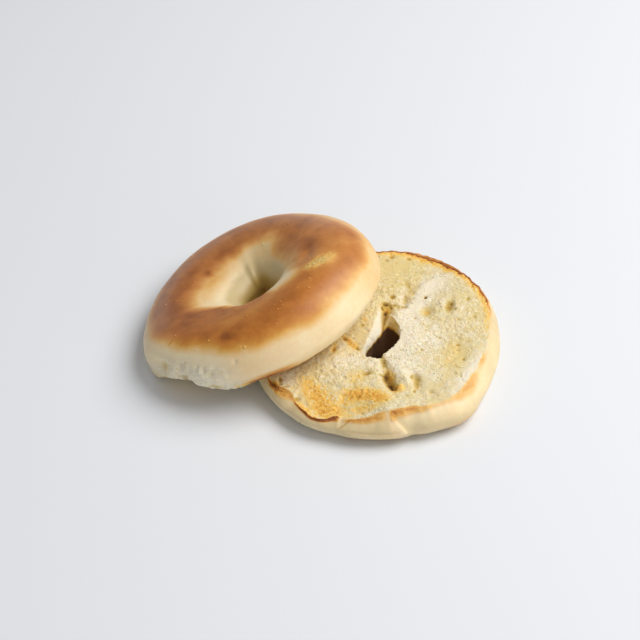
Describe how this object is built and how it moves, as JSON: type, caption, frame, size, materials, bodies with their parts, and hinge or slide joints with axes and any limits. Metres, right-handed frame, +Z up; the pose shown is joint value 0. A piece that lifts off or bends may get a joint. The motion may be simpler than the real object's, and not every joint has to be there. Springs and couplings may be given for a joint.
{
  "type": "bagel",
  "caption": "Plain toasted bagel, cut through: the bottom half lies cut face up and the crusty top half leans on its rim.",
  "frame": {"origin": "on the table, under the middle of the pair's bounding box", "axes": "+Z up, +X to the right from the leaning top half to the bottom half, -Y towards the side it is seen from"},
  "size_m": [0.1535, 0.1276, 0.0481],
  "materials": {
    "toasted_crumb": "dry bread crumb, pale with toasted orange patches, smooth pale crust round the wall",
    "baked_crust": "satin baked crust, brown on the crown and cream towards the cut"
  },
  "bodies": {
    "root": {"bottom_half": "toasted_crumb", "top_half": "baked_crust"}
  },
  "joints": []
}
